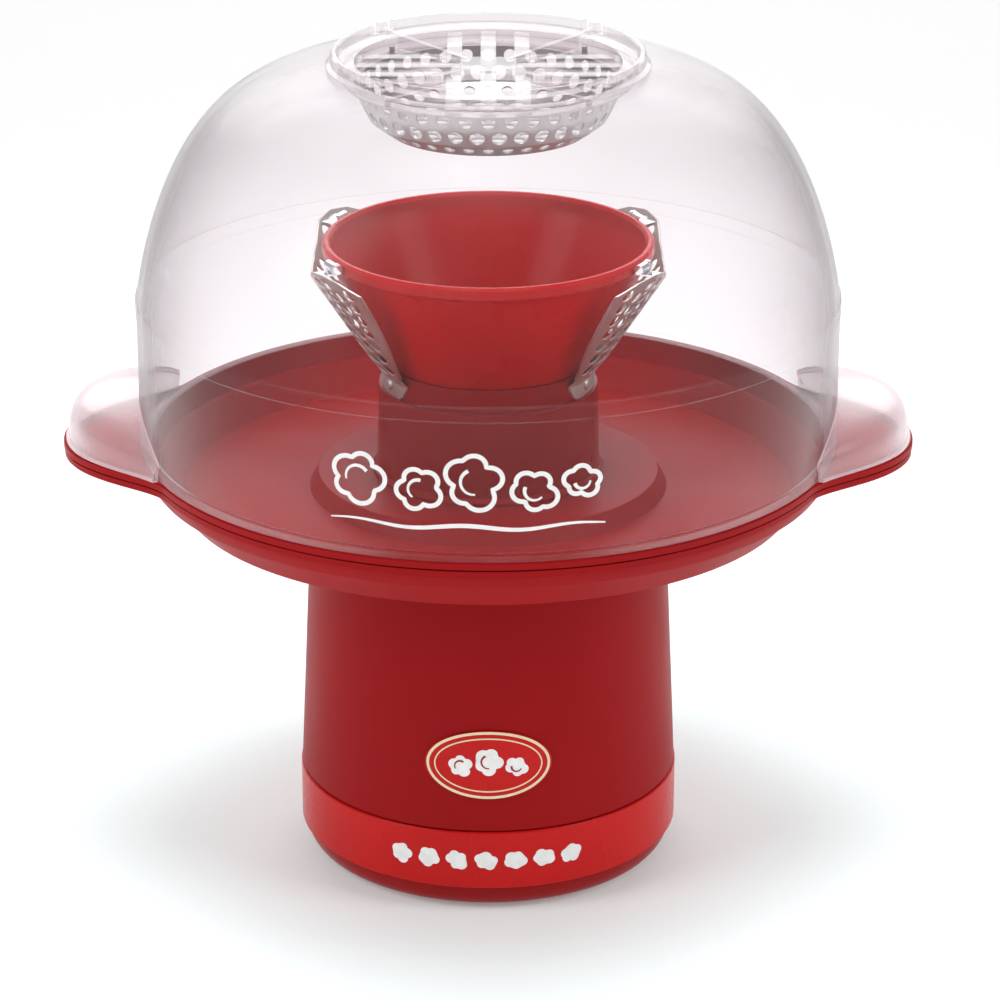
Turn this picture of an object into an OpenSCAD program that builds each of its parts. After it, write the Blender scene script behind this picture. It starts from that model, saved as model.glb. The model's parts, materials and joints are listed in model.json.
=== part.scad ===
// Table-top hot-air popcorn maker: clear lift-off dome over a red tray and column.
// Millimetres, Z up. Origin: centre of the four feet on the table. Front is -Y,
// the two carrying handles lie along +X and -X.

/* [Base] */
// height of the underside of the base rim above the table
skirt_z = 1.5; // [1:0.1:3]
// height where the bright band starts
band_z0 = 12.8; // [10:0.1:16]
// height where the bright band ends
band_z1 = 40; // [30:0.5:50]
// outer radius of the bright band
band_r = 85.9; // [80:0.1:95]
// thickness of the bright band
band_t = 2.3; // [1.5:0.1:4]
// radius at the underside of the base rim
skirt_r0 = 75.5; // [70:0.5:80]
// radius at the top of the base rim
skirt_r1 = 84; // [80:0.5:90]
// radius on which the feet sit
feet_pitch_r = 60; // [50:1:66]
// radius of one foot
foot_r = 8; // [5:0.5:10]

/* [Column] */
// outer radius just above the band
col_r0 = 85.4; // [80:0.1:95]
// outer radius under the tray
col_r1 = 79.5; // [70:0.1:90]
// height of the column top
col_top = 170.4; // [150:0.1:200]
// wall thickness of the column
col_t = 2.6; // [2:0.1:4]
// width of the blank front badge
badge_w = 56; // [30:1:60]
// height of the blank front badge
badge_h = 32; // [15:1:40]
// height of the badge centre
badge_z = 72.5; // [50:0.5:120]

/* [Tray] */
// height of the tray rim
rim_z = 196.7; // [180:0.1:220]
// outer radius of the tray rim
rim_r = 155.6; // [140:0.1:170]
// wall thickness of the tray
tray_t = 2.8; // [2:0.1:4]
// half width over the two handles
handle_x = 189.5; // [170:0.5:210]
// angle from the handle's middle to where it blends into the rim
handle_a = 26.5; // [22:0.5:40]
// depth of the rolled edge of rim and handles
edge_h = 7; // [4:0.1:10]

/* [Dome] */
// outer radius of the clear dome wall
dome_r = 155; // [140:0.5:165]
// wall thickness of the clear dome
dome_t = 2.4; // [2:0.1:4]
// height of the shoulder line
shoulder_z = 264.6; // [240:0.1:290]
// height of the dome crown beside the vent
crown_z = 366; // [340:0.5:390]
// height of the hoods above the tray rim
hood_h = 19; // [10:0.5:25]
// wall thickness of the hoods
hood_t = 2.2; // [1.5:0.1:3]

/* [Vent] */
// outer radius of the lower vent ring
vent_r = 70.4; // [60:0.1:80]
// outer radius of the raised vent ring
vent_r2 = 68.4; // [58:0.1:78]
// height of the top of the raised vent ring
vent_top = 372.8; // [360:0.1:390]
// spacing of the vent bars
vent_pitch = 14.8; // [10:0.1:20]
// width of one vent bar
vent_bar = 6.8; // [4:0.1:10]
// radius of the perforated screen under the vent
basket_r = 56; // [45:0.5:60]

/* [Chute] */
// outer radius of the chute rim
chute_r = 73; // [60:0.5:80]
// height of the chute rim
chute_top = 288; // [260:0.5:310]
// outer radius of the cup at its foot
cup_r0 = 45; // [40:0.5:50]
// height of the cup foot
cup_z0 = 233; // [220:0.5:250]

/* [Screens] */
// diameter of the round holes
hole_d = 6.6; // [4:0.1:8]
// distance between neighbouring holes
hole_pitch = 8.4; // [6:0.1:12]
// thickness of the sheet
sheet_t = 0.8; // [0.5:0.1:1.5]

/* [Works] */
// outer radius of the popping chamber
chamber_r = 41.6; // [35:0.1:43]
// underside of the popping chamber
chamber_z0 = 112; // [100:1:130]
// radius of the motor can
motor_r = 18; // [14:0.5:24]
// radius of the fan blades
fan_r = 43; // [30:0.5:44]
// number of fan blades
fan_blades = 8; // [4:12]
// radius of the motor shaft
shaft_r = 1.6; // [1:0.1:3]

/* [Hidden] */
$fn = 96;
eps = 0.01;
gap = 0.05;
foot_band_r = band_r - band_t;
foot_wall_r = foot_band_r - 0.1;
foot_in_r = foot_wall_r - 2.8;
pan_floor_z0 = 3;
pan_floor_z1 = 6;
boss_pitch_r = 70.5;
boss_top = 56;
boss_r = 5;
screw_r = 1.9;
under_z = 170.5;
step_z = 183.6;
floor_r = 137.4;
step_r0 = 148;
step_r1 = 151.6;
plinth_r = 76;
plinth_z = 181;
neck_r0 = 44;
neck_r1 = 46.5;
neck_z = 191.2;
tray_boss_r = 64;
seat_z = rim_z + 0.1;
run_gap = 0.5;
wing_r0 = 48;
wing_z0 = 229;
wing_r1 = 86;
wing_z1 = 287;
wing_slope = (wing_r1 - wing_r0) / (wing_z1 - wing_z0);
wing_beta = atan(wing_slope);
duct_r = 46;
house_r = 50;
rad45 = [45, 135, 225, 315];

RED = [0.62, 0.09, 0.10];
BRIGHT = [0.80, 0.13, 0.14];
DARK_RED = [0.45, 0.06, 0.07];
CLEAR = [0.86, 0.86, 0.90, 0.35];
STEEL = [0.70, 0.70, 0.70];
ALU = [0.78, 0.78, 0.79];
BLACK = [0.12, 0.12, 0.12];
MICA = [0.78, 0.70, 0.55];
COPPER = [0.72, 0.42, 0.25];
WHITE = [0.93, 0.93, 0.91];

// ---------- shared shapes ----------

// tube about Z between two heights
module tube(r_in, r_out, z0, z1) {
  difference() {
    translate([0, 0, z0]) cylinder(r = r_out, h = z1 - z0);
    translate([0, 0, z0 - 1]) cylinder(r = r_in, h = z1 - z0 + 2);
  }
}

// straight round rod from one point to another along one axis step
module rod_z(x, y, z0, z1, r) {
  translate([x, y, z0]) cylinder(r = r, h = z1 - z0, $fn = 32);
}

// copies its child at the four diagonals
module at_corners(radius) {
  for (a = rad45) rotate([0, 0, a]) translate([radius, 0, 0]) children();
}

// how far a handle reaches, 1 at its middle and 0 where it blends into the rim
function bump(a) = abs(a) >= handle_a ? 0
  : pow(1 - pow(abs(a) / handle_a, 2.35), 2.35);

// outline of both handles joined to a disc, drawn a little smaller by inset
module ear_outline(radius, reach, inset) {
  n = 56;
  polygon(concat([[0, 0]],
    [for (i = [0 : n]) let (a = -handle_a - 1 + 2 * (handle_a + 1) * i / n,
      r = radius - inset + (reach - radius) * bump(a)) [r * cos(a), r * sin(a)]]));
}
module both_ears(inset) {
  circle(r = rim_r - inset);
  ear_outline(rim_r, handle_x, inset);
  mirror([1, 0]) ear_outline(rim_r, handle_x, inset);
}

// outer radius of the column at a height
function col_rad(z) = col_r0 + (col_r1 - col_r0) * (z - band_z1) / (col_top - band_z1);

// ---------- base ----------

module rubber_feet() {
  color(BLACK)
    for (a = [0 : 90 : 270]) rotate([0, 0, a]) translate([feet_pitch_r, 0, 0]) {
      cylinder(r1 = foot_r - 0.8, r2 = foot_r, h = 0.8);
      translate([0, 0, 0.8]) cylinder(r = foot_r, h = pan_floor_z0 - 0.8);
      translate([0, 0, pan_floor_z0]) cylinder(r = 3.4, h = 4.6);
      translate([0, 0, pan_floor_z1 + gap]) cylinder(r1 = 4.3, r2 = 3, h = 1.6);
    }
}

module base_pan() {
  n = 10;
  a1 = skirt_r1 - skirt_r0;
  h1 = band_z0 - 0.1 - skirt_z;
  top = band_z0 - 0.1;
  outer = [for (i = [0 : n]) let (t = 90 * i / n)
    [skirt_r0 + a1 * cos(t), top - h1 * sin(t)]];
  inner = [for (i = [0 : n]) let (t = 90 - 90 * i / n)
    [skirt_r0 - 5 + (a1 - 1.4) * cos(t), top - (h1 - 4.5) * sin(t)]];
  color(DARK_RED)
    difference() {
      union() {
        rotate_extrude()
          polygon(concat(
            outer,
            [[73, skirt_z], [71.5, pan_floor_z0], [0, pan_floor_z0], [0, pan_floor_z1]],
            inner,
            [[skirt_r1 - 3.6, top]]));
        // spigot that centres the column
        tube(foot_in_r - 2.6, foot_in_r - 0.2, top - 1, 17.2);
        // pegs for the rectifier board
        for (x = [-11, 11]) rod_z(x, 46, pan_floor_z1 - 1, 14, 2.5);
      }
      // air intake slots
      for (a = [0 : 15 : 345])
        rotate([0, 0, a]) translate([22, -1.25, pan_floor_z0 - 1]) cube([20, 2.5, 6]);
      // holes for feet and screws
      for (a = [0 : 90 : 270])
        rotate([0, 0, a]) translate([feet_pitch_r, 0, 0]) cylinder(r = 3.4 + gap, h = 10);
      at_corners(boss_pitch_r) {
        cylinder(r = screw_r + 0.2, h = 12);
        translate([0, 0, -1]) cylinder(r = 3.7, h = 1 + pan_floor_z0);
        translate([0, 0, pan_floor_z1]) cylinder(r = boss_r + 0.15, h = 20);
      }
      // peg screw pilots
      for (x = [-11, 11]) translate([x, 46, 10]) cylinder(r = 0.9, h = 5, $fn = 32);
    }
}

module pan_screws() {
  color(STEEL)
    at_corners(boss_pitch_r)
      difference() {
        union() {
          translate([0, 0, 1]) cylinder(r = 3.5, h = 2);
          translate([0, 0, 3]) cylinder(r = screw_r, h = 17);
        }
        translate([-2.4, -0.4, 0]) cube([4.8, 0.8, 2]);
        translate([-0.4, -2.4, 0]) cube([0.8, 4.8, 2]);
      }
}

module base_band() {
  color(BRIGHT)
    difference() {
      rotate_extrude()
        polygon([
          [foot_band_r, band_z0], [band_r - 0.5, band_z0], [band_r, band_z0 + 0.5],
          [band_r, band_z1 - 0.5], [band_r - 0.5, band_z1], [foot_band_r, band_z1]]);
      translate([0, 70, 26]) rotate([-90, 0, 0]) cylinder(r = 6 + gap, h = 30);
    }
}

module column_housing() {
  shoulder = band_z1 + 0.6;
  in_top = col_r1 - col_t;
  color(RED)
    difference() {
      union() {
        rotate_extrude()
          polygon([
            [foot_wall_r, band_z0], [foot_wall_r, shoulder], [col_r0 - 0.4, shoulder],
            [col_r0, shoulder + 0.5], [col_r1, col_top], [in_top - 14.5, col_top],
            [in_top - 14.5, col_top - 3], [in_top, col_top - 3],
            [foot_in_r, shoulder + 4], [foot_in_r, band_z0]]);
        // screw bosses with ribs to the wall
        at_corners(boss_pitch_r) {
          translate([0, 0, pan_floor_z1 + 0.1])
            cylinder(r = boss_r, h = boss_top - pan_floor_z1 - 0.1);
          translate([3, -1.25, 19]) cube([7.6, 2.5, boss_top - 19]);
        }
      }
      at_corners(boss_pitch_r) {
        translate([0, 0, 5]) cylinder(r = screw_r + 0.02, h = 17);
        translate([0, 0, boss_top - 14]) cylinder(r = screw_r + 0.02, h = 16);
      }
      // screw holes up into the tray
      at_corners(tray_boss_r + 2.5) translate([0, 0, 160]) cylinder(r = 2.1, h = 20);
      // hole for the cord gland
      translate([0, 70, 26]) rotate([-90, 0, 0]) cylinder(r = 6 + gap, h = 30);
    }
}

module cord_gland() {
  color(BLACK)
    translate([0, 0, 26]) rotate([-90, 0, 0])
      difference() {
        union() {
          translate([0, 0, 77]) cylinder(r = 6, h = 12);
          translate([0, 0, 76]) cylinder(r = 8.5, h = foot_in_r - 0.4 - 76);
          difference() {
            translate([0, 0, 84]) cylinder(r = 8.5, h = 5);
            rotate([90, 0, 0]) translate([0, 0, -30]) cylinder(r = band_r + 0.05, h = 60);
          }
          translate([0, 0, 89 - eps]) cylinder(r1 = 8.5, r2 = 6.5, h = 2.5);
        }
        translate([0, 0, 70]) cylinder(r = 3.3, h = 30);
      }
}

module front_badge() {
  n = 72;
  tilt = atan((col_r0 - col_r1) / (col_top - band_z1));
  color(BRIGHT)
    intersection() {
      translate([0, -70, badge_z]) rotate([90, 0, 0])
        linear_extrude(30)
          polygon([for (i = [0 : n - 1]) let (t = 360 * i / n)
            [badge_w / 2 * cos(t), badge_h / 2 * sin(t)]]);
      difference() {
        cylinder(r1 = col_rad(0) + 1.1, r2 = col_rad(150) + 1.1, h = 150);
        translate([0, 0, -eps])
          cylinder(r1 = col_rad(0) + 0.1, r2 = col_rad(150) + 0.1, h = 150 + 2 * eps);
      }
    }
}

// ---------- tray ----------

module tray_shell() {
  rotate_extrude()
    polygon([
      [neck_r0, 178.2], [73.6, 178.2], [77.5, under_z], [floor_r, under_z],
      [step_r0, step_z - 0.6], [step_r1 - 0.6, step_z - 0.2], [step_r1, step_z + 0.6],
      [rim_r - 2.2, rim_z - edge_h], [rim_r - 2.2, rim_z],
      [rim_r - 3.4, rim_z],
      [step_r1 - 3, step_z + 2.2], [step_r0 - 1.8, step_z + 1.8],
      [floor_r - 1.6, under_z + tray_t], [plinth_r + 4, under_z + tray_t],
      [plinth_r, plinth_z], [neck_r1, plinth_z], [neck_r1, neck_z], [neck_r0, neck_z]]);
}

// one band of the double-beaded edge that runs round rim and handles
module edge_band(z0, z1, inset) {
  difference() {
    translate([0, 0, z0]) linear_extrude(z1 - z0) both_ears(inset);
    translate([0, 0, z0 - 1]) linear_extrude(z1 - z0 + 2) both_ears(3.3);
  }
}

module tray() {
  edge_z = rim_z - edge_h;
  color(RED)
    difference() {
      union() {
        tray_shell();
        edge_band(edge_z, edge_z + 0.5, 0.9);
        edge_band(edge_z + 0.5, edge_z + 2.9, 0.4);
        edge_band(edge_z + 2.9, edge_z + 3.7, 1.1);
        edge_band(edge_z + 3.7, rim_z - 0.6, 0);
        edge_band(rim_z - 0.6, rim_z, 0.5);
        // plate of the handles
        difference() {
          translate([0, 0, rim_z - 6]) linear_extrude(3.2) both_ears(3.2);
          translate([0, 0, rim_z - 8]) cylinder(r = rim_r - 2.6, h = 8);
        }
        // ribs under the handle plates
        for (s = [0, 180], a = [-16, -8, 0, 8, 16]) rotate([0, 0, s + a])
          translate([rim_r - 2.6, -0.7, edge_z + 0.4])
            cube([(handle_x - rim_r) * bump(a) - 0.2, 1.4, 2]);
        // bosses under the centre of the tray
        at_corners(tray_boss_r + 2.5)
          translate([0, 0, under_z]) cylinder(r = 4.5, h = 8);
      }
      at_corners(tray_boss_r + 2.5)
        translate([0, 0, 165]) cylinder(r = 1.72, h = 12.2);
    }
}

module tray_screws() {
  color(STEEL)
    at_corners(tray_boss_r + 2.5)
      difference() {
        union() {
          translate([0, 0, col_top - 5.1]) cylinder(r = 3.5, h = 2);
          translate([0, 0, col_top - 3.2]) cylinder(r = 1.7, h = 9);
        }
        translate([-2.4, -0.4, col_top - 6]) cube([4.8, 0.8, 2]);
        translate([-0.4, -2.4, col_top - 6]) cube([0.8, 4.8, 2]);
      }
}

// ---------- popping chamber and heater ----------

module chamber_gasket() {
  color(WHITE) tube(neck_r0 + 0.1, neck_r1 - 0.1, neck_z, neck_z + 1);
}

module popping_chamber() {
  z1 = neck_z + 2;
  r_in = chamber_r - 0.9;
  color(ALU)
    difference() {
      rotate_extrude()
        polygon([
          [0, chamber_z0], [chamber_r - 3, chamber_z0], [chamber_r, chamber_z0 + 3],
          [chamber_r, z1 - 1], [neck_r1 - 0.1, z1 - 1], [neck_r1 - 0.1, z1],
          [r_in, z1], [r_in, chamber_z0 + 3.4], [r_in - 2.4, chamber_z0 + 1],
          [14, chamber_z0 + 1], [0, chamber_z0 + 4]]);
      // slanted louvres that swirl the air
      for (a = [0 : 18 : 342])
        rotate([0, 0, a]) translate([chamber_r - 0.5, 0, chamber_z0 + 14])
          rotate([0, 0, 50]) cube([14, 1.6, 14], center = true);
    }
}

module heater_housing() {
  color(STEEL)
    difference() {
      union() {
        tube(house_r, house_r + 0.9, 82.1, 178.1);
        tube(house_r, house_r + 4, 82.1, 83.1);
        tube(house_r - 4, house_r + 0.4, 85, 86);
      }
      for (x = [-6, 6])
        translate([x, 30, 96]) rotate([-90, 0, 0]) cylinder(r = 2.2, h = 40, $fn = 32);
    }
}

coil_r = 33;
coil_z = [90, 94.5, 99, 103.5];
coil_wire = 1.0;

module mica_frame() {
  color(MICA)
    difference() {
      union() {
        for (a = [45, 135]) rotate([0, 0, a])
          translate([-house_r + 0.6, -0.6, 86.1]) cube([2 * house_r - 1.2, 1.2, 21]);
        difference() {
          tube(8, 10, 86.1, 88);
        }
      }
      for (a = [45, 135, 225, 315]) rotate([0, 0, a])
        for (z = coil_z)
          translate([coil_r, 0, z]) rotate([90, 0, 0])
            cylinder(r = coil_wire + 0.08, h = 4, center = true, $fn = 32);
      translate([0, 0, 104]) cylinder(r = 22, h = 8);
    }
}

module heater_coil() {
  color(COPPER) {
    for (z = coil_z)
      translate([0, 0, z]) rotate_extrude() translate([coil_r, 0]) circle(r = coil_wire, $fn = 24);
    for (i = [0 : 2])
      rotate([0, 0, 80 + 120 * i])
        translate([coil_r, 0, coil_z[i]]) cylinder(r = 0.8, h = 4.5, $fn = 24);
    // tails to the lead wires
    for (x = [-6, 6])
      translate([x, 32.4, 96.75]) {
        rotate([-90, 0, 0]) cylinder(r = 0.8, h = 10, $fn = 24);
        translate([0, 0, x < 0 ? -2.4 : 0]) cylinder(r = 0.8, h = 2.4, $fn = 24);
      }
  }
}

module thermostat() {
  color(STEEL) {
    translate([0, 0, chamber_z0 - 6.5]) cylinder(r = 8, h = 5);
    translate([0, 0, chamber_z0 - 2]) cylinder(r = 9.5, h = 1.95);
    for (x = [-4.5, 4.5])
      translate([x - 0.4, -2.5, chamber_z0 - 10.4]) cube([0.8, 5, 5]);
  }
}

module thermal_fuse() {
  color(WHITE)
    translate([-8, 16, chamber_z0 - 2.1]) rotate([0, 90, 0]) {
      cylinder(r = 2, h = 12, $fn = 32);
      translate([0, 0, 12]) cylinder(r1 = 2, r2 = 0.6, h = 3, $fn = 32);
      translate([0, 0, -5]) cylinder(r = 0.5, h = 24, $fn = 24);
    }
}

// ---------- fan and motor ----------

module air_duct() {
  color(BLACK)
    difference() {
      union() {
        rotate_extrude()
          polygon([
            [duct_r, boss_top], [duct_r + 9, boss_top], [duct_r + 9, boss_top + 2],
            [duct_r + 2, boss_top + 3], [duct_r + 2, 78], [duct_r + 9, 79.9],
            [duct_r + 9, 82], [duct_r, 82], [duct_r, boss_top + 8], [duct_r, boss_top]]);
        at_corners(boss_pitch_r) {
          translate([0, 0, boss_top]) cylinder(r = boss_r, h = 2);
          translate([-20, -4, boss_top]) cube([20, 8, 2]);
        }
      }
      at_corners(boss_pitch_r) translate([0, 0, boss_top - 1]) cylinder(r = screw_r + 0.2, h = 5);
      for (a = [0 : 120 : 240]) rotate([0, 0, a + 30])
        translate([duct_r + 5, 0, boss_top - 1]) cylinder(r = 1.3, h = 5, $fn = 32);
    }
}

module duct_screws() {
  color(STEEL)
    at_corners(boss_pitch_r) {
      translate([0, 0, boss_top + 2.05]) cylinder(r = 3.5, h = 1.8);
      translate([0, 0, boss_top - 9]) cylinder(r = screw_r, h = 11.2);
    }
}

module motor_bracket() {
  z = boss_top - 2.1;
  color(STEEL)
    difference() {
      union() {
        translate([0, 0, z]) cylinder(r = 22, h = 2);
        for (a = [0 : 120 : 240]) rotate([0, 0, a + 30])
          translate([0, -4, z]) cube([duct_r + 8, 8, 2]);
      }
      translate([0, 0, z - 1]) cylinder(r = 4.2, h = 4);
      for (x = [-10, 10]) translate([x, 0, z - 1]) cylinder(r = 1.4, h = 4, $fn = 32);
      for (a = [0 : 120 : 240]) rotate([0, 0, a + 30])
        translate([duct_r + 5, 0, z - 1]) cylinder(r = 1.3, h = 4, $fn = 32);
    }
}

can_z0 = 20;
can_z1 = boss_top - 2.2;

module motor_can() {
  color(STEEL)
    difference() {
      translate([0, 0, can_z0 + 3]) cylinder(r = motor_r, h = can_z1 - can_z0 - 3);
      translate([0, 0, can_z0]) cylinder(r = motor_r - 1.1, h = can_z1 - can_z0 - 1.2);
      translate([0, 0, can_z1 - 4]) cylinder(r = 3.9, h = 6);
      for (x = [-10, 10]) translate([x, 0, can_z1 - 4]) cylinder(r = 1.3, h = 6, $fn = 32);
    }
}

module motor_endbell() {
  color(BLACK)
    difference() {
      union() {
        translate([0, 0, can_z0]) cylinder(r = motor_r - 0.2, h = 3);
        translate([0, 0, can_z0 + 2]) cylinder(r = motor_r - 1.2, h = 3);
        for (x = [-12, 12]) translate([x - 0.4, -2.4, can_z0 - 5]) cube([0.8, 4.8, 6]);
      }
      translate([0, 0, can_z0 - 1]) cylinder(r = 3.9, h = 8);
    }
}

module motor_magnets() {
  color([0.25, 0.25, 0.27])
    for (s = [0, 180]) rotate([0, 0, s])
      intersection() {
        tube(13, motor_r - 1.15, can_z0 + 8, can_z1 - 4);
        translate([0, -11, 0]) cube([30, 22, 100]);
      }
}

module motor_bushes() {
  color(COPPER)
    difference() {
      union() {
        translate([0, 0, can_z1 - 5]) cylinder(r = 3.85, h = 5.6);
        translate([0, 0, can_z0 - 0.4]) cylinder(r = 3.85, h = 5.6);
      }
      cylinder(r = shaft_r + gap, h = 90);
    }
}

module motor_screws() {
  color(STEEL)
    for (x = [-10, 10]) {
      translate([x, 0, boss_top - 0.05]) cylinder(r = 2.4, h = 1.5, $fn = 32);
      translate([x, 0, can_z1 - 1.8]) cylinder(r = 1.25, h = 4.4, $fn = 32);
    }
}

module rectifier_board() {
  color([0.16, 0.36, 0.22])
    difference() {
      translate([-16, 38, 14.05]) cube([32, 16, 1.6]);
      for (x = [-11, 11]) translate([x, 46, 12]) cylinder(r = 1.1, h = 6, $fn = 32);
    }
}

module diodes() {
  color(BLACK)
    for (i = [0 : 3])
      translate([-6 + 4 * i, 43, 17.1]) rotate([-90, 0, 0]) cylinder(r = 1.4, h = 6, $fn = 32);
}

// two insulated wires from the board to the heater
module power_leads() {
  r = 1.2;
  color(WHITE)
    for (x = [-6, 6]) {
      rod_z(x, 52.6, 15.7, 22, r);
      translate([x, 52.6, 22]) sphere(r = r, $fn = 32);
      translate([x, 52.6, 22]) rotate([-90, 0, 0]) cylinder(r = r, h = 7.4, $fn = 32);
      translate([x, 60, 22]) sphere(r = r, $fn = 32);
      rod_z(x, 60, 22, 96, r);
      translate([x, 60, 96]) sphere(r = r, $fn = 32);
      translate([x, 43, 96]) rotate([-90, 0, 0]) cylinder(r = r, h = 17, $fn = 32);
    }
}

// ---------- rotor ----------

module motor_shaft() {
  color(STEEL) translate([0, 0, can_z0 - 2]) cylinder(r = shaft_r, h = 82 - can_z0);
}

module armature() {
  color(COPPER)
    difference() {
      union() {
        translate([0, 0, can_z0 + 9]) cylinder(r = 12, h = 19);
        translate([0, 0, can_z0 + 6.5]) cylinder(r = 4.5, h = 3);
      }
      for (a = [0 : 72 : 288]) rotate([0, 0, a])
        translate([9, -1, can_z0 + 8]) cube([5, 2, 22]);
      cylinder(r = shaft_r, h = 90);
    }
}

fan_z = 68;
module fan_impeller() {
  color(WHITE)
    difference() {
      union() {
        translate([0, 0, fan_z - 6]) cylinder(r = 7, h = 12);
        intersection() {
          for (i = [0 : fan_blades - 1])
            rotate([0, 0, 360 * i / fan_blades])
              translate([4, 0, fan_z]) rotate([32, 0, 0])
                translate([0, -8.5, -0.7]) cube([50, 17, 1.4]);
          translate([0, 0, fan_z - 12]) cylinder(r = fan_r, h = 24);
        }
      }
      cylinder(r = shaft_r, h = 100);
    }
}

module fan_nut() {
  color(STEEL)
    difference() {
      translate([0, 0, fan_z + 6.05]) cylinder(r = 3.6, h = 3, $fn = 6);
      cylinder(r = shaft_r, h = 100);
    }
}

// ---------- chute ----------

module chute_collar() {
  z0 = plinth_z + 0.1;
  color(DARK_RED)
    difference() {
      rotate_extrude()
        polygon([
          [neck_r1 + run_gap, z0], [51.5, z0], [51.5, z0 + 1.4], [49.6, z0 + 3],
          [48.6, 222], [46.4, 222], [46.4, cup_z0], [cup_r0 - 0.9, cup_z0],
          [cup_r0 - 0.9, cup_z0 - 4], [42.6, cup_z0 - 4], [43.4, neck_z + 4.6],
          [neck_r1 + run_gap, neck_z + 3.2]]);
      for (s = [0, 180], a = [-24, 24]) rotate([0, 0, s + a])
        translate([40, 0, 226.5]) rotate([0, 90, 0]) cylinder(r = 1.3, h = 12, $fn = 32);
    }
}

module chute_cup() {
  n = 14;
  h = chute_top - 7 - cup_z0;
  dr = chute_r - 2.6 - cup_r0;
  wall = [for (i = [0 : n]) let (s = i / n)
    [cup_r0 + dr * (1.18 * s - 0.18 * s * s), cup_z0 + h * s]];
  inside = [for (i = [0 : n]) let (s = 1 - i / n)
    [cup_r0 - 2.3 + dr * (1.18 * s - 0.18 * s * s), cup_z0 + h * s]];
  color(BRIGHT)
    rotate_extrude()
      polygon(concat(
        [[42.7, cup_z0 - 4], [cup_r0 - 0.95, cup_z0 - 4], [cup_r0 - 0.95, cup_z0]],
        wall,
        [[chute_r - 0.9, chute_top - 6], [chute_r, chute_top - 5],
          [chute_r, chute_top - 1.2], [chute_r - 1.2, chute_top],
          [chute_r - 2.6, chute_top], [chute_r - 3.8, chute_top - 1.4]],
        inside));
}

// side view outline of one perforated screen
function wing_edge(s) = 31 + 31 * pow(max(s, 0), 0.75);
wing_top_pts = [[0, 273.5], [12, 274.5], [25, 278], [38, 284.6], [48, 286.4], [56, 285.2], [61, 281]];
function wing_top(y) = lookup(abs(y), wing_top_pts);
module wing_side_outline() {
  n = 20;
  zt = wing_z1 - 6;
  front = [for (i = [0 : n]) let (s = i / n)
    [-wing_edge(s), wing_z0 + 3 + (zt - wing_z0 - 3) * s]];
  back = [for (i = [0 : n]) let (s = 1 - i / n)
    [wing_edge(s), wing_z0 + 3 + (zt - wing_z0 - 3) * s]];
  polygon(concat(
    [[-25, 221], [-28.4, 223.4], [-30.2, wing_z0 - 2]],
    front,
    [for (i = [5 : -1 : 0]) [-wing_top_pts[i][0], wing_top_pts[i][1]]],
    [for (i = [1 : 5]) wing_top_pts[i]],
    back,
    [[30.2, wing_z0 - 2], [28.4, 223.4], [25, 221]]));
}

// height range of the flat part of the sheet at a distance from the middle plane
function wing_inside(y, z, m) =
  z > wing_z0 + 1.5 + m * 0.8 && z < wing_top(y) - m * 0.95 &&
  abs(y) < wing_edge((z - wing_z0 - 3) / (wing_z1 - wing_z0 - 9)) - m * 1.05;

module one_screen() {
  step_u = hole_pitch * sqrt(3) / 2;
  rho0 = wing_r0 / sin(wing_beta);
  difference() {
    intersection() {
      rotate_extrude()
        polygon([
          [46.45, 222.05], [47.25, 222.05], [47.25, wing_z0 - 0.3],
          [wing_r0 + 10 * wing_slope + sheet_t, wing_z0 + 10],
          [wing_r1 + 8 * wing_slope + sheet_t, wing_z1 + 8],
          [wing_r1 + 8 * wing_slope, wing_z1 + 8],
          [wing_r0 + 10 * wing_slope, wing_z0 + 10], [46.45, wing_z0]]);
      rotate([90, 0, 90]) linear_extrude(120) wing_side_outline();
    }
    // round holes laid out on the unrolled sheet, then wrapped round the cone
    for (i = [0 : 10]) {
      for (j = [-11 : 11]) {
        u = rho0 + 4.5 + i * step_u;
        v = (j + (i % 2) / 2) * hole_pitch;
        rho = sqrt(u * u + v * v);
        az = atan2(v, u) / sin(wing_beta);
        z = wing_z0 + (rho * sin(wing_beta) - wing_r0) / wing_slope;
        y = rho * sin(wing_beta) * sin(az);
        if (wing_inside(y, z, hole_d / 2 + 1) && abs(az) < 75)
          rotate([0, 0, az]) translate([rho * sin(wing_beta), 0, z])
            rotate([0, 90 + wing_beta, 0]) cylinder(d = hole_d, h = 8, center = true, $fn = 24);
      }
    }
    for (a = [-24, 24]) rotate([0, 0, a])
      translate([40, 0, 226.5]) rotate([0, 90, 0]) cylinder(r = 1.3, h = 12, $fn = 32);
  }
}

module side_screens() {
  color(STEEL) {
    one_screen();
    mirror([1, 0, 0]) one_screen();
  }
}

clip_az = 28.5;
module rim_clips() {
  color(ALU)
    for (s = [0, 180], a = [-clip_az, clip_az])
      rotate([0, 0, s + a]) {
        // barrel along the rim
        translate([chute_r + 3, -4.8, chute_top - 2]) rotate([-90, 0, 0]) {
          cylinder(r = 2.2, h = 9.6, $fn = 48);
          translate([0, 0, 7.4]) cylinder(r = 2.6, h = 1.2, $fn = 48);
        }
        // strap from the rim to the screen
        translate([chute_r + 0.05, -3.4, chute_top - 4.8]) cube([10.3, 6.4, 0.8]);
        translate([chute_r + 2.6, -1, chute_top - 4.8]) cube([0.8, 2, 2]);
      }
}

module screen_rivets() {
  color(STEEL)
    for (s = [0, 180], a = [-24, 24]) rotate([0, 0, s + a])
      translate([0, 0, 226.5]) rotate([0, 90, 0]) {
        translate([0, 0, 43.6]) cylinder(r = 1.25, h = 4.2, $fn = 32);
        translate([0, 0, 47.3]) cylinder(r1 = 2.4, r2 = 1.6, h = 1, $fn = 32);
      }
}

// ---------- dome ----------

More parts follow.
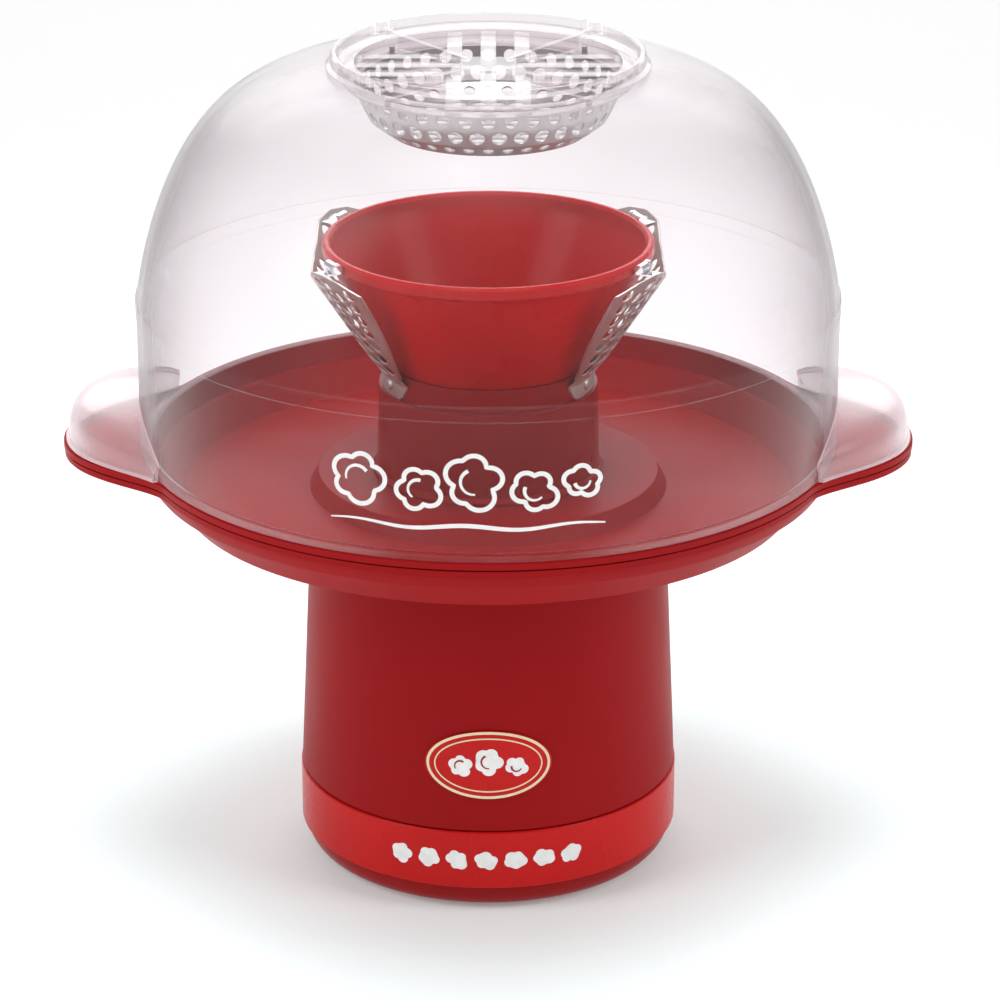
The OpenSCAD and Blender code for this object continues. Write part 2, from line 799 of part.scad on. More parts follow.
dome_base = 260.7;
dome_nr = 5.37;
dome_nz = 1.354;
function dome_rr(t, inset) = (dome_r - inset) * pow(cos(t), 2 / dome_nr);
function dome_zz(t, inset) =
  dome_base + (crown_z - inset - dome_base) * pow(sin(t), 2 / dome_nz);

// loop of [outward, upward] points across one hood at an angle from its middle
function hood_loop(a) =
  let (n = 9, b = (handle_x - 3.4 - dome_r) * bump(a) + 0.9,
    h = hood_h * pow(bump(a), 0.42) + 3.2,
    bi = max(b - hood_t, 0.35 * b), hi = max(h - hood_t, 0.5 * h))
  concat(
    [[b + 1.3, 0], [b + 1.3, 1.4]],
    [for (i = [0 : n]) let (t = 90 * i / n)
      [b * pow(cos(t), 0.62), 1.8 + (h - 1.8) * pow(sin(t), 0.62)]],
    [for (i = [0 : n]) let (t = 90 - 90 * i / n)
      [bi * pow(cos(t), 0.62), hi * pow(sin(t), 0.62)]]);

// one clear hood, lofted round the dome wall
module one_hood() {
  n = 40;
  a_end = handle_a - 3;
  wall = dome_r + 0.05;
  m = len(hood_loop(0));
  pts = [for (i = [0 : n]) let (a = -a_end + 2 * a_end * i / n)
    for (q = hood_loop(a)) [(wall + q[0]) * cos(a), (wall + q[0]) * sin(a), seat_z + q[1]]];
  sides = [for (i = [0 : n - 1], k = [0 : m - 1])
    let (p = i * m + k, q = i * m + (k + 1) % m) each [[p, q, q + m], [p, q + m, p + m]]];
  ends = [[for (k = [0 : m - 1]) m - 1 - k], [for (k = [0 : m - 1]) n * m + k]];
  polyhedron(pts, concat(sides, ends));
}

module dome_hoods() {
  color(CLEAR) {
    one_hood();
    rotate([0, 0, 180]) one_hood();
  }
}

module dome_cover() {
  n = 22;
  t1 = 84;
  outer = [for (i = [0 : n]) let (t = t1 * i / n) [dome_rr(t, 0), dome_zz(t, 0)]];
  inner = [for (i = [0 : n]) let (t = t1 - t1 * i / n)
    [dome_rr(t, dome_t), dome_zz(t, dome_t)]];
  color(CLEAR)
    rotate_extrude()
      polygon(concat(
        [[149.8, seat_z], [dome_r, seat_z], [dome_r, shoulder_z - 7],
          [dome_r + 0.35, shoulder_z - 6.65], [dome_r + 0.35, shoulder_z - 0.45],
          [dome_r - 0.1, shoulder_z]],
        [for (p = outer) if (p[1] > shoulder_z + 1) p],
        [[64, dome_zz(t1, 0)], [64, dome_zz(t1, dome_t)]],
        [for (p = inner) if (p[1] > shoulder_z) p],
        [[dome_r - dome_t, shoulder_z - 2], [dome_r - dome_t, seat_z + 3],
          [149.8, seat_z + 1]]));
}

ring_z = 365.15;
module vent_grille() {
  half = [-1, 0, 1];
  hub = 12;
  color(CLEAR)
    difference() {
      union() {
        // lower ring that lies on the dome
        rotate_extrude()
          polygon([[58, ring_z - 5], [63.6, ring_z - 5], [64.9, ring_z - 3.6],
            [64.9, ring_z - 2.7], [63.6, ring_z - 2.5], [63.6, ring_z + 0.3],
            [vent_r - 0.4, ring_z + 0.3], [vent_r, ring_z + 0.8],
            [vent_r, ring_z + 2], [vent_r2, ring_z + 3], [58, ring_z + 3]]);
        // raised ring
        rotate_extrude()
          polygon([[vent_r2 - 3.2, ring_z + 2], [vent_r2, ring_z + 2], [vent_r2, vent_top - 0.8],
            [vent_r2 - 0.8, vent_top], [vent_r2 - 2.4, vent_top], [vent_r2 - 3.2, vent_top - 0.8]]);
        // bars, each side's own between its two diagonal ribs
        for (q = [0 : 90 : 270]) rotate([0, 0, q])
          intersection() {
            for (k = half)
              translate([hub - 3, k * vent_pitch - vent_bar / 2, ring_z - 2.4])
                cube([60, vent_bar, 3.2]);
            translate([0, 0, ring_z - 10]) cylinder(r = 60, h = 30);
            translate([0, 0, ring_z - 10]) linear_extrude(30) polygon([[0, 0], [80, -80], [80, 80]]);
          }
        // square hub
        translate([-hub, -hub, ring_z - 2.6]) cube([2 * hub, 2 * hub, 4]);
        // diagonal ribs, high at the ring and low at the hub
        for (q = rad45) rotate([0, 0, q])
          translate([0, 1.5, 0]) rotate([90, 0, 0]) linear_extrude(3)
            polygon([[8, ring_z - 2.6], [62, ring_z - 2.6], [vent_r2 - 1.6, ring_z + 1],
              [vent_r2 - 1.6, vent_top - 1.2], [54, vent_top - 3.4], [12, ring_z + 1.6]]);
      }
      // notches in the raised ring beside the ribs
      for (q = rad45) rotate([0, 0, q]) for (s = [-1, 1])
        translate([62, s * 4.2 - 2.2, ring_z + 3.4]) cube([12, 4.4, 12]);
      // blind holes for the screen rivets
      at_corners(60.3) translate([0, 0, 350]) cylinder(r = 1.3, h = ring_z - 351.4, $fn = 32);
    }
}

basket_z0 = 338;
basket_z1 = 360.1;
module vent_screen() {
  step = hole_pitch * sqrt(3) / 2;
  lip = 62.6;
  r0 = basket_r - 12;
  color(STEEL)
    difference() {
      rotate_extrude()
        polygon([
          [0, basket_z0], [r0, basket_z0], [r0 + 8, basket_z0 + 6], [basket_r, basket_z0 + 14],
          [basket_r + 0.8, basket_z1 - 0.9], [lip, basket_z1 - 0.9], [lip, basket_z1],
          [basket_r, basket_z1], [basket_r - 0.9, basket_z0 + 14.4],
          [r0 + 7.4, basket_z0 + 6.7], [r0 - 0.3, basket_z0 + sheet_t], [0, basket_z0 + sheet_t]]);
      // holes in the floor
      for (i = [-6 : 6])
        for (j = [-6 : 6]) {
          x = (j + abs(i % 2) / 2) * hole_pitch;
          y = i * step;
          if (sqrt(x * x + y * y) < r0 - hole_d / 2 - 0.8)
            translate([x, y, basket_z0 - 2]) cylinder(d = hole_d, h = 6, $fn = 24);
        }
      at_corners(60.3) translate([0, 0, 350]) cylinder(r = 1.3, h = 20, $fn = 32);
      // rows in the slanted and upright walls
      for (k = [0 : 35]) {
        rotate([0, 0, k * 10]) translate([r0 + 4, 0, basket_z0 + 3.2])
          rotate([0, -40 + 180, 0]) cylinder(d = hole_d - 1.6, h = 9, center = true, $fn = 24);
        rotate([0, 0, k * 10 + 5]) translate([r0 + 10.2, 0, basket_z0 + 10.2])
          rotate([0, 118, 0]) cylinder(d = hole_d, h = 6, center = true, $fn = 24);
        rotate([0, 0, k * 10]) translate([basket_r, 0, (basket_z0 + 14 + basket_z1) / 2 - 0.2])
          rotate([0, 90, 0]) cylinder(d = hole_d - 1, h = 8, center = true, $fn = 24);
      }
    }
}

module vent_rivets() {
  color(STEEL)
    at_corners(60.3) {
      translate([0, 0, basket_z1 - 2]) cylinder(r1 = 1.5, r2 = 2.1, h = 1.05, $fn = 32);
      translate([0, 0, basket_z1 - 1.2]) cylinder(r = 1.25, h = 4.4, $fn = 32);
    }
}

rubber_feet();
base_pan();
pan_screws();
base_band();
column_housing();
cord_gland();
front_badge();
tray();
tray_screws();
chamber_gasket();
popping_chamber();
heater_housing();
mica_frame();
heater_coil();
thermostat();
thermal_fuse();
air_duct();
duct_screws();
motor_bracket();
motor_can();
motor_endbell();
motor_magnets();
motor_bushes();
motor_screws();
rectifier_board();
diodes();
power_leads();
motor_shaft();
armature();
fan_impeller();
fan_nut();
chute_collar();
chute_cup();
side_screens();
rim_clips();
screen_rivets();
dome_cover();
dome_hoods();
vent_grille();
vent_screen();
vent_rivets();
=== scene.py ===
"""Looks of a table-top hot-air popcorn maker: materials, printed marks, studio and camera."""

import json
import math

import bmesh
import bpy
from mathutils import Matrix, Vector


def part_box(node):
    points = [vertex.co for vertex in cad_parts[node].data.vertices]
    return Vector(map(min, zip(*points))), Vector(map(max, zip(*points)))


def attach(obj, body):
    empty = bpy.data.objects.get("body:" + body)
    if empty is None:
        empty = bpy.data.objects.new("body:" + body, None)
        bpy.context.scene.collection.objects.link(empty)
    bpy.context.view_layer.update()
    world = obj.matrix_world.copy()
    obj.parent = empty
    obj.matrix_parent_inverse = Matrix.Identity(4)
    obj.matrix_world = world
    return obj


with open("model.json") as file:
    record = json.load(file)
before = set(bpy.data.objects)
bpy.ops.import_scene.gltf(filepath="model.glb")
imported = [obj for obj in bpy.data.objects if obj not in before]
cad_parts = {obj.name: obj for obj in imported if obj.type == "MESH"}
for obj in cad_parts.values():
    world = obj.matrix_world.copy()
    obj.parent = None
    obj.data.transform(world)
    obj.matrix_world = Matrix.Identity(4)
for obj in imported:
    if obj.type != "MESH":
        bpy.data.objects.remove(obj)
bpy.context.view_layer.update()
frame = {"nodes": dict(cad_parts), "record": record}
NODES = frame["nodes"]
MM = 0.001

# shading: edges sharper than this stay crisp, in degrees
CRISP = 24
CRISP_DOME = 12

# printed marks
INK_THICK = 0.00012
DOME_R = 155.0 * MM
DOME_PRINT_RISE = 32.2 * MM  # middle of the dome's print, above the dome's foot
BAND_PRINT_Z = 26.5 * MM

# the column's cone in millimetres, and the badge's thickness on it
CONE_R_LOW, CONE_R_HIGH = 85.4, 79.5
CONE_Z, CONE_RISE = 40, 130.4
BADGE_THICK = 1.1

# paper floor and wall, in metres: where it starts, bends up and ends
PAPER_FRONT, PAPER_BEND, PAPER_TOP = -6.0, 2.2, 5.0
PAPER_BEND_R = 1.2
PAPER_HALF = 7.0

# camera, at the photograph's angle
CAMERA_PLACE = (0, -1.7, 0.82085)
CAMERA_DOWN = 21.11
CAMERA_LENS = 145.75
CAMERA_SHIFT = 0.0117
AIM = (0, 0, 0.2)


# ---------- node helpers ----------


class Tree:
    """A material's node tree with short ways to add and join nodes."""

    def __init__(self, name):
        self.mat = bpy.data.materials.new(name)
        self.mat.use_nodes = True
        self.nodes = self.mat.node_tree.nodes
        self.links = self.mat.node_tree.links
        self.nodes.clear()
        self.out = self.add("ShaderNodeOutputMaterial")
        self.coords = self.add("ShaderNodeTexCoord").outputs["Object"]

    def add(self, kind, **settings):
        node = self.nodes.new(kind)
        for key, value in settings.items():
            setattr(node, key, value)
        return node

    def link(self, source, target):
        self.links.new(source, target)
        return target

    def shader(self, **values):
        bsdf = self.add("ShaderNodeBsdfPrincipled")
        for key, value in values.items():
            bsdf.inputs[key.replace("_", " ")].default_value = value
        return bsdf

    def noise(self, scale, detail=3.0, stretch=(1, 1, 1), rough=0.55):
        mapping = self.add("ShaderNodeMapping")
        mapping.inputs["Scale"].default_value = stretch
        self.link(self.coords, mapping.inputs["Vector"])
        node = self.add("ShaderNodeTexNoise")
        node.inputs["Scale"].default_value = scale
        node.inputs["Detail"].default_value = detail
        node.inputs["Roughness"].default_value = rough
        self.link(mapping.outputs["Vector"], node.inputs["Vector"])
        return node.outputs["Fac"]

    def spread(self, value, low, high, out_low=0.0, out_high=1.0):
        node = self.add("ShaderNodeMapRange")
        node.inputs["From Min"].default_value = low
        node.inputs["From Max"].default_value = high
        node.inputs["To Min"].default_value = out_low
        node.inputs["To Max"].default_value = out_high
        self.link(value, node.inputs["Value"])
        return node.outputs["Result"]

    def blend(self, factor, a, b):
        node = self.add("ShaderNodeMix", data_type="RGBA")
        for socket, value in ((node.inputs["A"], a), (node.inputs["B"], b)):
            if isinstance(value, (tuple, list)):
                socket.default_value = (*value[:3], 1)
            else:
                self.link(value, socket)
        self.link(factor, node.inputs["Factor"])
        return node.outputs["Result"]

    def edge_mask(self, radius):
        """1 near edges, 0 on flat ground."""
        bevel = self.add("ShaderNodeBevel", samples=4)
        bevel.inputs["Radius"].default_value = radius
        geometry = self.add("ShaderNodeNewGeometry")
        dot = self.add("ShaderNodeVectorMath", operation="DOT_PRODUCT")
        self.link(bevel.outputs["Normal"], dot.inputs[0])
        self.link(geometry.outputs["Normal"], dot.inputs[1])
        return bevel.outputs["Normal"], self.spread(dot.outputs["Value"], 0.995, 0.86)

    def bump(self, height, strength, distance, normal=None):
        node = self.add("ShaderNodeBump")
        node.inputs["Strength"].default_value = strength
        node.inputs["Distance"].default_value = distance
        self.link(height, node.inputs["Height"])
        if normal is not None:
            self.link(normal, node.inputs["Normal"])
        return node.outputs["Normal"]


def scaled(colour, k):
    return tuple(min(1.0, c * k) for c in colour)


def moulded_plastic(name, colour, rough, grain, grain_depth, wear=1.25, coat=0.0, shine=0.5):
    """Moulded plastic: uneven tone, patchy gloss, fine grain and paler edges."""
    t = Tree(name)
    bsdf = t.shader(IOR=1.5, Coat_Weight=coat, Coat_Roughness=0.12, Specular_IOR_Level=shine)
    cloud = t.noise(9.0, 4.0)
    tone = t.blend(t.spread(cloud, 0.35, 0.65), scaled(colour, 0.93), scaled(colour, 1.05))
    rounded, edges = t.edge_mask(0.0006)
    speck = t.noise(160.0, 2.0)
    worn = t.add("ShaderNodeMath", operation="MULTIPLY")
    t.link(edges, worn.inputs[0])
    t.link(t.spread(speck, 0.3, 0.8, 0.15, 0.7), worn.inputs[1])
    t.link(t.blend(worn.outputs[0], tone, scaled(colour, wear)), bsdf.inputs["Base Color"])
    smears = t.noise(22.0, 5.0, (1, 1, 0.35))
    t.link(t.spread(smears, 0.3, 0.7, rough * 0.86, rough * 1.16), bsdf.inputs["Roughness"])
    fine = t.noise(grain, 3.0)
    t.link(t.bump(fine, 0.25, grain_depth, rounded), bsdf.inputs["Normal"])
    t.link(bsdf.outputs["BSDF"], t.out.inputs["Surface"])
    return t.mat


def clear_plastic(name, haze, rough, edge_depth, milky, tint, edge_highlight=0.2):
    """Clear moulded plastic: a thin see-through skin that greys and shines towards its edges,
    with a painted white highlight along its sharp edges.
    """
    t = Tree(name)
    facing = t.add("ShaderNodeLayerWeight").outputs["Facing"]

    def raised(power, low, high):
        node = t.add("ShaderNodeMath", operation="POWER")
        t.link(facing, node.inputs[0])
        node.inputs[1].default_value = power
        return t.spread(node.outputs[0], 0.0, 1.0, low, high)

    cloud = t.noise(14.0, 4.0)
    rounded, edges = t.edge_mask(0.0005)
    ripples = t.bump(t.noise(5.0, 1.0), 0.12, 0.0012, rounded)
    through = t.add("ShaderNodeBsdfTransparent")
    t.link(t.blend(raised(4.0, 0.0, edge_depth), tint, (0.55, 0.52, 0.545)),
           through.inputs["Color"])
    milk = t.shader(Roughness=0.6, IOR=1.45)
    t.link(t.blend(t.spread(cloud, 0.3, 0.7), scaled(milky, 0.93), milky),
           milk.inputs["Base Color"])
    t.link(ripples, milk.inputs["Normal"])
    gloss = t.add("ShaderNodeBsdfGlossy")
    t.link(t.spread(cloud, 0.3, 0.7, rough * 0.6, rough * 1.5), gloss.inputs["Roughness"])
    t.link(ripples, gloss.inputs["Normal"])
    # painted highlight: along sharp edges the milky shader is mixed in, so the edges read as lit
    # white lines
    cover = t.add("ShaderNodeMath", operation="ADD", use_clamp=True)
    t.link(raised(3.0, haze, haze * 12), cover.inputs[0])
    t.link(t.spread(edges, 0.0, 1.0, 0.0, edge_highlight), cover.inputs[1])
    body = t.add("ShaderNodeMixShader")
    t.link(cover.outputs[0], body.inputs["Fac"])
    t.link(through.outputs["BSDF"], body.inputs[1])
    t.link(milk.outputs["BSDF"], body.inputs[2])
    skin = t.add("ShaderNodeMixShader")
    t.link(raised(4.0, 0.018, 0.75), skin.inputs["Fac"])
    t.link(body.outputs["Shader"], skin.inputs[1])
    t.link(gloss.outputs["BSDF"], skin.inputs[2])
    t.link(skin.outputs["Shader"], t.out.inputs["Surface"])
    return t.mat


def metal(name, colour, rough, stretch=(1, 1, 1), scratch=60.0, depth=0.00004, stain=0.12,
          pure=1.0):
    """Sheet or drawn metal: brushed lines, finger haze and brighter edges."""
    t = Tree(name)
    bsdf = t.shader(Metallic=pure)
    patch = t.noise(12.0, 5.0)
    tone = t.blend(t.spread(patch, 0.35, 0.7), scaled(colour, 1 - stain), scaled(colour, 1.06))
    rounded, edges = t.edge_mask(0.0003)
    t.link(t.blend(edges, tone, scaled(colour, 1.3)), bsdf.inputs["Base Color"])
    lines = t.noise(scratch, 6.0, stretch, 0.7)
    t.link(t.spread(lines, 0.25, 0.75, rough * 0.7, rough * 1.35), bsdf.inputs["Roughness"])
    t.link(t.bump(lines, 0.3, depth, rounded), bsdf.inputs["Normal"])
    t.link(bsdf.outputs["BSDF"], t.out.inputs["Surface"])
    return t.mat


def dull(name, colour, rough, scale, depth, contrast=0.12):
    """Rubber, mica board, ferrite and the like: mottled, soft, no gloss."""
    t = Tree(name)
    bsdf = t.shader(IOR=1.45)
    cloud = t.noise(scale, 6.0)
    tone = t.blend(t.spread(cloud, 0.3, 0.7),
                   scaled(colour, 1 - contrast), scaled(colour, 1 + contrast))
    rounded, edges = t.edge_mask(0.0005)
    t.link(t.blend(t.spread(edges, 0, 1, 0, 0.4), tone, scaled(colour, 1.5)),
           bsdf.inputs["Base Color"])
    t.link(t.spread(cloud, 0.3, 0.7, rough * 0.9, rough * 1.1), bsdf.inputs["Roughness"])
    t.link(t.bump(t.noise(scale * 12, 3.0), 0.4, depth, rounded), bsdf.inputs["Normal"])
    t.link(bsdf.outputs["BSDF"], t.out.inputs["Surface"])
    return t.mat


def ink(name, colour, rough=0.4):
    """Printed ink: slightly uneven cover with a fine screen texture."""
    t = Tree(name)
    bsdf = t.shader(IOR=1.45)
    cover = t.noise(240.0, 2.0)
    t.link(t.blend(t.spread(cover, 0.3, 0.7), scaled(colour, 0.9), colour),
           bsdf.inputs["Base Color"])
    t.link(t.spread(cover, 0.3, 0.7, rough * 0.85, rough * 1.15), bsdf.inputs["Roughness"])
    t.link(t.bump(t.noise(900.0, 1.0), 0.2, 0.00002), bsdf.inputs["Normal"])
    t.link(bsdf.outputs["BSDF"], t.out.inputs["Surface"])
    return t.mat


MATERIALS = {
    "satin_red": moulded_plastic("satin_red", (0.32, 0.006, 0.008), 0.42, 900.0, 0.00006,
                                 shine=0.07),
    "bright_red": moulded_plastic("bright_red", (0.56, 0.009, 0.009), 0.27, 500.0, 0.00002,
                                  coat=0.03, shine=0.13),
    "dark_red": moulded_plastic("dark_red", (0.31, 0.006, 0.007), 0.30, 600.0, 0.00003,
                                shine=0.12),
    "clear": clear_plastic("clear", 0.003, 0.42, 0.75, (0.93, 0.92, 0.93), (0.980, 0.967, 0.976)),
    "clear_hood": clear_plastic("clear_hood", 0.11, 0.2, 0.28, (1.0, 0.86, 0.89),
                                (0.986, 0.955, 0.965)),
    "clear_vent": clear_plastic("clear_vent", 0.02, 0.11, 0.7, (0.93, 0.89, 0.905),
                                (0.965, 0.945, 0.955), edge_highlight=0.25),
    "steel": metal("steel", (0.62, 0.59, 0.55), 0.42, (1, 1, 0.1), 90.0, pure=0.8),
    "steel_vent": metal("steel_vent", (0.48, 0.455, 0.45), 0.40, (1, 1, 0.1), 90.0, pure=0.9),
    "chrome": metal("chrome", (0.80, 0.80, 0.82), 0.10, stain=0.05),
    "aluminium": metal("aluminium", (0.74, 0.74, 0.75), 0.28, (1, 1, 12), 40.0),
    "rubber": dull("rubber", (0.022, 0.022, 0.022), 0.75, 30.0, 0.00008),
    "black_plastic": moulded_plastic("black_plastic", (0.02, 0.02, 0.022), 0.45, 700.0,
                                     0.00006, wear=2.0),
    "white_plastic": moulded_plastic("white_plastic", (0.72, 0.71, 0.68), 0.4, 700.0,
                                     0.00004, wear=1.1),
    "mica": dull("mica", (0.45, 0.36, 0.22), 0.5, 60.0, 0.0001, 0.25),
    "copper": metal("copper", (0.70, 0.36, 0.20), 0.3, (1, 1, 8), 120.0, stain=0.2),
    "board_green": dull("board_green", (0.03, 0.14, 0.06), 0.4, 40.0, 0.00004),
    "dark_steel": dull("dark_steel", (0.06, 0.06, 0.065), 0.55, 50.0, 0.00005),
}
INK_WHITE = ink("ink_white", (0.93, 0.93, 0.92))
INK_CREAM = ink("ink_cream", (0.86, 0.76, 0.50))
INK_RED = ink("ink_red", (0.36, 0.012, 0.016))


def smooth_faces(obj, angle):
    """Round the shading of curved faces and keep edges sharper than angle crisp."""
    for face in obj.data.polygons:
        face.use_smooth = True
    weld = obj.modifiers.new("weld", "WELD")
    weld.merge_threshold = 0.000002
    split = obj.modifiers.new("split", "EDGE_SPLIT")
    split.split_angle = math.radians(angle)
    split.use_edge_sharp = False


SLOTS = {s["node"]: s["material_slot"] for s in frame["record"]["subparts"]}
FINER = {"dome_hoods": "clear_hood", "vent_grille": "clear_vent",
         "vent_screen": "steel_vent"}
for name, obj in NODES.items():
    obj.data.materials.clear()
    obj.data.materials.append(MATERIALS[FINER.get(name, SLOTS[name])])
    smooth_faces(obj, CRISP_DOME if name == "dome_cover" else CRISP)


# ---------- printed marks ----------


def add_print(name, bm, material, body):
    """Turn the mesh being built into a printed piece that rides a body."""
    bmesh.ops.recalc_face_normals(bm, faces=bm.faces[:])
    mesh = bpy.data.meshes.new(name)
    bm.to_mesh(mesh)
    bm.free()
    obj = bpy.data.objects.new(name, mesh)
    bpy.context.scene.collection.objects.link(obj)
    mesh.materials.append(material)
    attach(obj, body)


def flat_piece(name, loops, place, material, body, thick=INK_THICK):
    """A thin printed patch: flat loops of (u, v) in metres, mapped to the surface by place."""
    bm = bmesh.new()
    for loop in loops:
        bottom = [bm.verts.new(place(u, v, 0.0)) for u, v in loop]
        top = [bm.verts.new(place(u, v, thick)) for u, v in loop]
        bm.faces.new(top)
        bm.faces.new(list(reversed(bottom)))
        n = len(loop)
        for i in range(n):
            bm.faces.new((bottom[i], bottom[(i + 1) % n], top[(i + 1) % n], top[i]))
    bmesh.ops.triangulate(bm, faces=bm.faces[:])
    add_print(name, bm, material, body)


def strip_piece(name, ribbons, place, material, body, thick=INK_THICK):
    """Printed ribbons: each is a closed or open list of (u, v, half width)."""
    bm = bmesh.new()
    for ribbon, closed in ribbons:
        rows = []
        n = len(ribbon)
        for i, (u, v, w) in enumerate(ribbon):
            if closed:
                a, b = ribbon[i - 1], ribbon[(i + 1) % n]
            else:
                a, b = ribbon[max(i - 1, 0)], ribbon[min(i + 1, n - 1)]
            du, dv = b[0] - a[0], b[1] - a[1]
            size = math.hypot(du, dv) or 1.0
            nu, nv = -dv / size, du / size
            rows.append([
                bm.verts.new(place(u + s * nu * w, v + s * nv * w, h))
                for s, h in ((-1, 0.0), (1, 0.0), (1, thick), (-1, thick))])
        for i in range(n if closed else n - 1):
            p, q = rows[i], rows[(i + 1) % n]
            for k in range(4):
                m = (k + 1) % 4
                bm.faces.new((p[k], p[m], q[m], q[k]))
        if not closed:
            bm.faces.new(list(reversed(rows[0])))
            bm.faces.new(rows[-1])
    add_print(name, bm, material, body)


def kernel(cu, cv, size, turn):
    """Outline of one popped kernel: the outer edge of five unequal round lobes."""
    lobes = [(turn + 2 * math.pi * k / 5 + 0.16 * math.sin(3 * k + turn),
              size * (0.52 + 0.06 * math.sin(2 * k + turn)),
              size * (0.44 + 0.05 * math.cos(3 * k + 2 * turn))) for k in range(5)]
    pts = []
    for i in range(60):
        a = 2 * math.pi * i / 60
        reach = [far * math.cos(a - at) + math.sqrt(max(rad**2 - (far * math.sin(a - at))**2, 0))
                 for at, far, rad in lobes if abs(far * math.sin(a - at)) < rad
                 and math.cos(a - at) > 0]
        r = max(reach)
        pts.append((cu + r * math.cos(a), cv + 0.92 * r * math.sin(a)))
    return pts


def stroke(pts, half):
    """Outline points with an even half width."""
    return [(u, v, half) for u, v in pts]


def curl(cu, cv, size, turn, half):
    """Small open curl inside a kernel."""
    pts = []
    for i in range(9):
        a = turn + math.pi * 0.9 * i / 8
        pts.append((cu + size * math.cos(a), cv + size * math.sin(a), half * (1 - 0.5 * i / 8)))
    return pts


DOME_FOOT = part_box("dome_cover")[0].z
BAND_R = (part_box("base_band")[1].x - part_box("base_band")[0].x) / 2


def on_cylinder(radius, z0):
    """Mapping from flat (u, v) to an upright cylinder's front, centred on the height z0."""
    def place(u, v, lift):
        a = u / radius
        r = radius + 0.00004 + lift
        return Vector((r * math.sin(a), -r * math.cos(a), z0 + v))
    return place


def dome_print():
    """A row of popped kernels with a ground line, white, on the front of the dome."""
    ribbons = []
    row = [(-55, 2, 12), (-29, -1, 10), (-6, 3, 13), (19, -1, 10), (39, 2, 8)]
    for i, (u, v, size) in enumerate(row):
        turn = 0.7 * i
        ribbons.append((stroke(kernel(u * MM, v * MM, size * MM, turn), 0.0010), True))
        ribbons.append((curl(u * MM, v * MM, 0.42 * size * MM, turn + 0.6, 0.0008), False))
    line = [((-67 + 4 * i) * MM, (-17 + 0.9 * math.sin(i * 0.55)) * MM,
             0.0007 * (0.35 + math.sin(math.pi * (i + 0.5) / 31))) for i in range(30)]
    ribbons.append((line, False))
    place = on_cylinder(DOME_R, DOME_FOOT + DOME_PRINT_RISE)
    strip_piece("dome_print", ribbons, place, INK_WHITE, "dome")


def band_print():
    """A row of small filled kernels on the bright band."""
    loops = [kernel((-40 + 13 * i) * MM, 0, 5.3 * MM, 0.9 * i) for i in range(7)]
    flat_piece("band_print", loops, on_cylinder(BAND_R, BAND_PRINT_Z), INK_WHITE, "base")


BADGE_LO, BADGE_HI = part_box("front_badge")
BADGE_Z = (BADGE_LO.z + BADGE_HI.z) / 2


def on_badge(u, v, lift):
    """A point on the badge's face: the column's cone with the badge's thickness on it."""
    z = BADGE_Z + v
    cone = CONE_R_LOW + (CONE_R_HIGH - CONE_R_LOW) * (z / MM - CONE_Z) / CONE_RISE
    r = (cone + BADGE_THICK) * MM + 0.00003 + lift
    a = u / r
    return Vector((r * math.sin(a), -r * math.cos(a), z))


def badge_marks():
    """Two oval lines and three filled kernels with small curls, on the badge."""
    half_w, half_h = 27.1 * MM, 15.2 * MM
    n = 72
    oval = [(half_w * math.cos(2 * math.pi * i / n), half_h * math.sin(2 * math.pi * i / n),
             0.0006) for i in range(n)]
    inner = [(0.88 * u, 0.82 * v, 0.0003) for u, v, _ in oval]
    strip_piece("badge_border", [(oval, True), (inner, True)], on_badge, INK_CREAM, "base")
    loops = [kernel(u * MM, v * MM, s * MM, t) for u, v, s, t in
             ((-12.5, -0.5, 5.6, 0.3), (0, 1.6, 7.0, 1.1), (12.5, -0.8, 5.4, 2.2))]
    flat_piece("badge_motif", loops, on_badge, INK_WHITE, "base")
    curls = [(curl(u * MM, v * MM, s * MM, t, 0.0005), False) for u, v, s, t in
             ((-12.5, -0.5, 2.4, 0.9), (0, 1.6, 3.1, 2.0), (12.5, -0.8, 2.3, 3.0))]

    def raised(u, v, lift):
        return on_badge(u, v, lift + 0.00013)

    strip_piece("badge_curls", curls, raised, INK_RED, "base")


dome_print()
band_print()
badge_marks()


# ---------- studio ----------


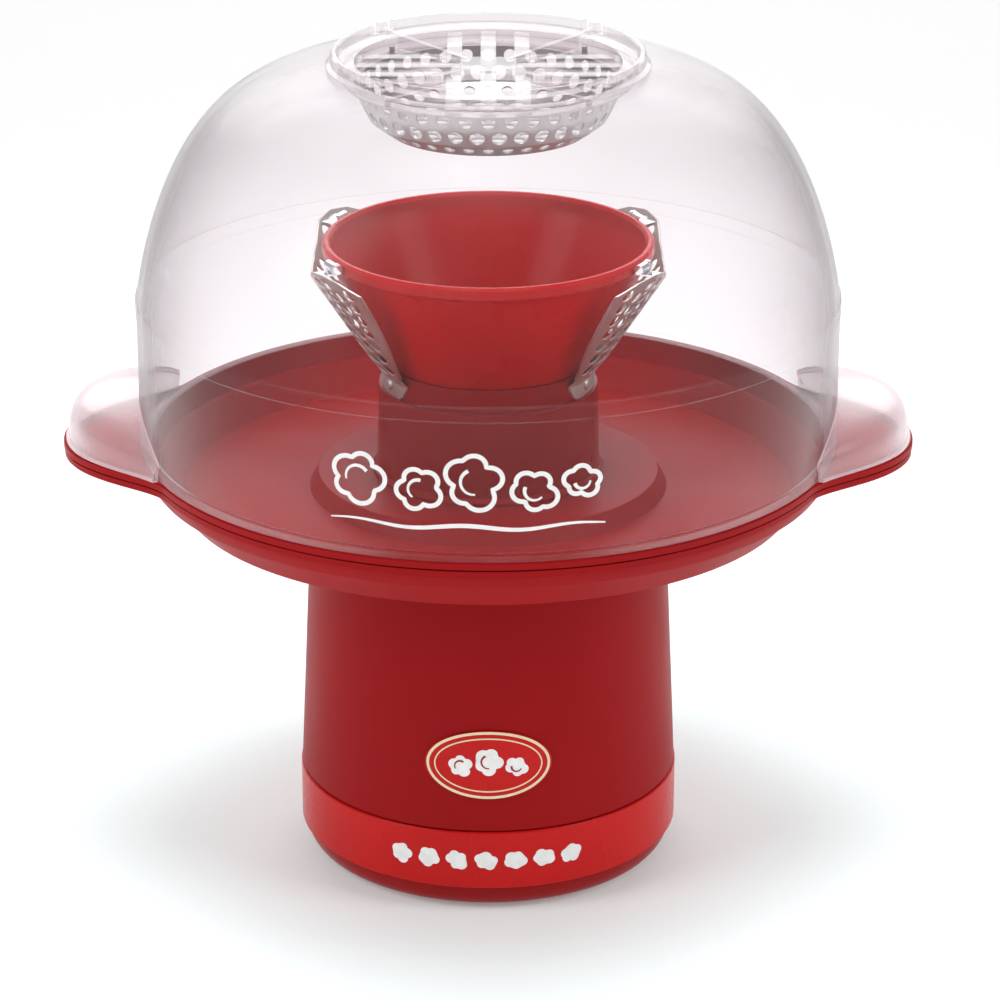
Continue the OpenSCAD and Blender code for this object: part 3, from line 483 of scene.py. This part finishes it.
def backdrop():
    """Pale floor that curves up into a wall behind the object."""
    profile = [(PAPER_FRONT, 0.0), (PAPER_BEND, 0.0)]
    for i in range(1, 13):
        a = math.pi / 2 * i / 12
        profile.append((PAPER_BEND + PAPER_BEND_R * math.sin(a),
                        PAPER_BEND_R - PAPER_BEND_R * math.cos(a)))
    profile.append((PAPER_BEND + PAPER_BEND_R, PAPER_TOP))
    bm = bmesh.new()
    rows = [[bm.verts.new((x, y, z)) for x in (-PAPER_HALF, PAPER_HALF)] for y, z in profile]
    for a, b in zip(rows, rows[1:]):
        bm.faces.new((a[0], a[1], b[1], b[0]))
    mesh = bpy.data.meshes.new("backdrop")
    bm.to_mesh(mesh)
    bm.free()
    for face in mesh.polygons:
        face.use_smooth = True
    obj = bpy.data.objects.new("backdrop", mesh)
    bpy.context.scene.collection.objects.link(obj)
    t = Tree("paper")
    # the paper glows faintly (emission), which lifts it to white and lightens the shadows cast on
    # it
    bsdf = t.shader(Roughness=0.9, Specular_IOR_Level=0.0, Emission_Color=(1, 1, 1, 1),
                    Emission_Strength=0.18)
    place = t.add("ShaderNodeSeparateXYZ")
    t.link(t.coords, place.inputs["Vector"])
    away = t.add("ShaderNodeVectorMath", operation="LENGTH")
    t.link(t.coords, away.inputs[0])
    grain = t.blend(t.spread(t.noise(3.0), 0.3, 0.7), (0.89, 0.89, 0.89), (0.91, 0.91, 0.91))
    # painted counter-light: near the object the paper is tinted less red, to cancel the red light
    # the object bounces onto it
    near = t.blend(t.spread(away.outputs["Value"], 0.15, 0.5), (0.795, 0.905, 0.91), grain)
    # painted shade: towards the wall the paper is darker, to even out the stronger light falling
    # there
    t.link(t.blend(t.spread(place.outputs["Y"], 0.25, 1.1), near, (0.64, 0.64, 0.64)),
           bsdf.inputs["Base Color"])
    t.link(bsdf.outputs["BSDF"], t.out.inputs["Surface"])
    mesh.materials.append(t.mat)


def soft_light(name, place, width, height, power):
    """A rectangular soft light that faces the middle of the object."""
    data = bpy.data.lights.new(name, "AREA")
    data.shape = "RECTANGLE"
    data.size, data.size_y = width, height
    data.energy = power
    lamp = bpy.data.objects.new(name, data)
    lamp.location = place
    lamp.rotation_euler = (Vector(AIM) - Vector(place)).to_track_quat("-Z", "Y").to_euler()
    bpy.context.scene.collection.objects.link(lamp)


backdrop()
soft_light("key", (-1.8, -1.0, 1.5), 1.1, 1.9, 24)
soft_light("fill", (1.9, -0.8, 1.4), 1.0, 1.9, 21)
soft_light("top", (0, 0, 2.6), 1.5, 1.5, 40)
soft_light("rear", (0, 2.7, 1.7), 4.0, 1.8, 42)

world = bpy.data.worlds.new("studio")
world.use_nodes = True
world.node_tree.nodes["Background"].inputs["Color"].default_value = (1, 1, 1, 1)
world.node_tree.nodes["Background"].inputs["Strength"].default_value = 0.28
bpy.context.scene.world = world
bpy.context.scene.view_settings.view_transform = "Standard"

camera_data = bpy.data.cameras.new("camera")
camera_data.sensor_width = 36
camera_data.lens = CAMERA_LENS
camera_data.shift_x = CAMERA_SHIFT
camera = bpy.data.objects.new("camera", camera_data)
camera.location = CAMERA_PLACE
camera.rotation_euler = (math.radians(90 - CAMERA_DOWN), 0, 0)
bpy.context.scene.collection.objects.link(camera)
bpy.context.scene.camera = camera
